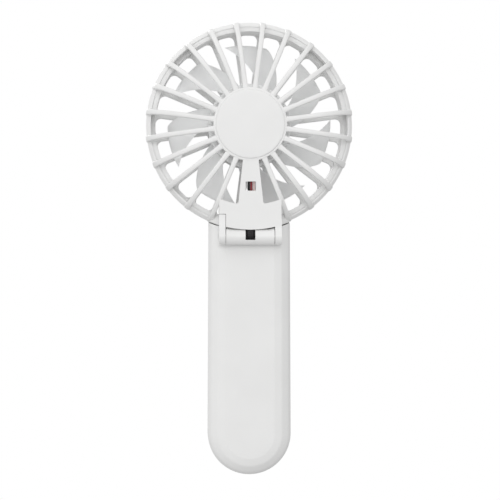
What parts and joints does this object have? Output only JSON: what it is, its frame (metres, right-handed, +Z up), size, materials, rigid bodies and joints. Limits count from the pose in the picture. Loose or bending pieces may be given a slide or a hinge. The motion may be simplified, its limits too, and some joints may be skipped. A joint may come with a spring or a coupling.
{
  "type": "handheld electric fan",
  "caption": "Rechargeable hand fan with a round ribbed guard, swept-blade impeller, folding head hinged at the back and a flat rounded grip.",
  "frame": {"origin": "middle of the hand grip: on its centre line, half way through its thickness, 55 mm above its lower end", "axes": "+Z up along the grip to the head, +Y to the front (air outlet), -Y to the back (hinge and air inlet), +X to the right as seen from the back"},
  "size_m": [0.0932, 0.0311, 0.2038],
  "materials": {
    "shell_white": "fine satin moulded ABS",
    "blade_white": "satin moulded, slightly translucent",
    "button_white": "semi-gloss moulded",
    "sleeve_black": "braided polyester sleeve",
    "lead_black": "PVC wire insulation",
    "lead_red": "PVC wire insulation",
    "lead_white": "PVC wire insulation",
    "steel": "ground steel",
    "brass": "turned brass",
    "copper_wire": "enamelled copper winding",
    "magnet": "bonded ferrite",
    "board_green": "solder mask",
    "cell_wrap": "foil pouch with film",
    "foam": "closed-cell foam",
    "plug_nylon": "nylon connector",
    "switch_black": "moulded",
    "light_clear": "clear to milky polycarbonate"
  },
  "bodies": {
    "handle": {"handle_back": "shell_white", "handle_front": "shell_white", "friction_washers": "steel", "battery_cell": "cell_wrap", "battery_foam": "foam", "battery_leads": "lead_red", "battery_plug": "plug_nylon", "main_board": "board_green", "usb_socket": "steel", "switch_body": "switch_black", "indicator_lights": "light_clear", "light_guide": "light_clear", "board_screws": "steel", "motor_plug": "plug_nylon", "cable_sleeve": "sleeve_black"},
    "head": {"rear_guard": "shell_white", "hub_cap": "shell_white", "hinge_ear": "shell_white", "front_guard": "shell_white", "front_cap": "shell_white", "bearing_tube": "brass", "bearings": "steel", "stator_core": "steel", "stator_coils": "copper_wire", "motor_board": "board_green", "motor_screws": "steel", "lead_black": "lead_black", "lead_red": "lead_red", "lead_white": "lead_white", "hinge_pins": "steel"},
    "rotor": {"impeller": "blade_white", "rotor_cup": "steel", "magnet_ring": "magnet", "motor_shaft": "steel", "shaft_clip": "steel"},
    "button": {"power_button": "button_white", "switch_plunger": "lead_red"}
  },
  "joints": [
    {"name": "head_fold", "type": "hinge", "parent": "handle", "child": "head", "pos_m": [0, -0.01475, 0.052], "axis": [1, 0, 0], "range_deg": [0, 175], "deforming": ["cable_sleeve"]},
    {"name": "impeller_spin", "type": "hinge", "parent": "head", "child": "rotor", "pos_m": [0, 0, 0.1022], "axis": [0, 1, 0], "continuous": true},
    {"name": "power_press", "type": "slide", "parent": "handle", "child": "button", "axis": [0, -1, 0], "range_m": [0, 0.0005], "stiffness_N_per_m": 1500, "springref_m": -0.0005}
  ]
}
